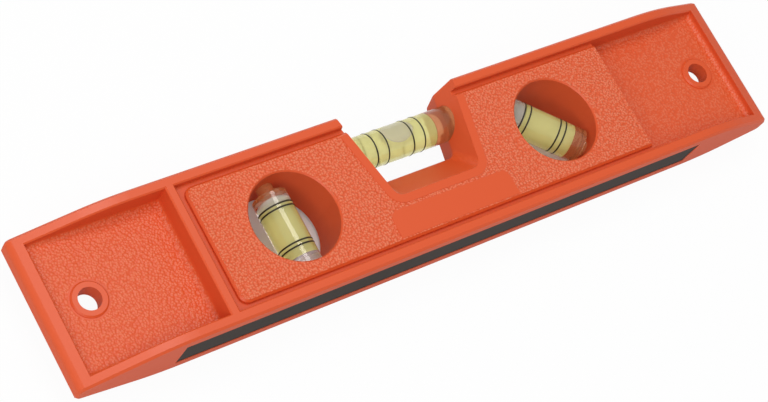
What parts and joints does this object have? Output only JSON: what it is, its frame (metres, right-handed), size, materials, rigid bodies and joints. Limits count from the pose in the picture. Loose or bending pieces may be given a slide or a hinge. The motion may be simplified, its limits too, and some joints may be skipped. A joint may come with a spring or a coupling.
{
  "type": "pocket spirit level",
  "caption": "Moulded pocket spirit level with tapered ends, a level vial in its top notch, plumb and 45 degree vials in round holes, and a magnetic base strip.",
  "frame": {"origin": "centre of the overall box, at the plane of the back flanges that it lies on", "axes": "+X along the level towards the 45 degree vial, +Y from the magnetic base edge to the notched top edge, +Z from the back flanges to the front flanges"},
  "size_m": [0.225, 0.041, 0.0176],
  "materials": {
    "orange_plastic": "moulded, fine grain on the faces, smooth on the edges",
    "clear_acrylic": "clear and glossy",
    "vial_liquid": "clear yellow-green liquid",
    "ring_black": "black line",
    "magnet": "matt dark strip"
  },
  "bodies": {
    "root": {"body": "orange_plastic", "magnet_strip": "magnet", "level_vial_barrel": "clear_acrylic", "level_vial_plug": "clear_acrylic", "level_vial_liquid": "vial_liquid", "level_vial_ring_1": "ring_black", "level_vial_ring_2": "ring_black", "level_vial_ring_3": "ring_black", "level_vial_ring_4": "ring_black", "plumb_vial_barrel": "clear_acrylic", "plumb_vial_plug": "clear_acrylic", "plumb_vial_liquid": "vial_liquid", "plumb_vial_ring_1": "ring_black", "plumb_vial_ring_2": "ring_black", "plumb_vial_ring_3": "ring_black", "plumb_vial_ring_4": "ring_black", "slant_vial_barrel": "clear_acrylic", "slant_vial_plug": "clear_acrylic", "slant_vial_liquid": "vial_liquid", "slant_vial_ring_1": "ring_black", "slant_vial_ring_2": "ring_black", "slant_vial_ring_3": "ring_black", "slant_vial_ring_4": "ring_black"}
  },
  "joints": []
}
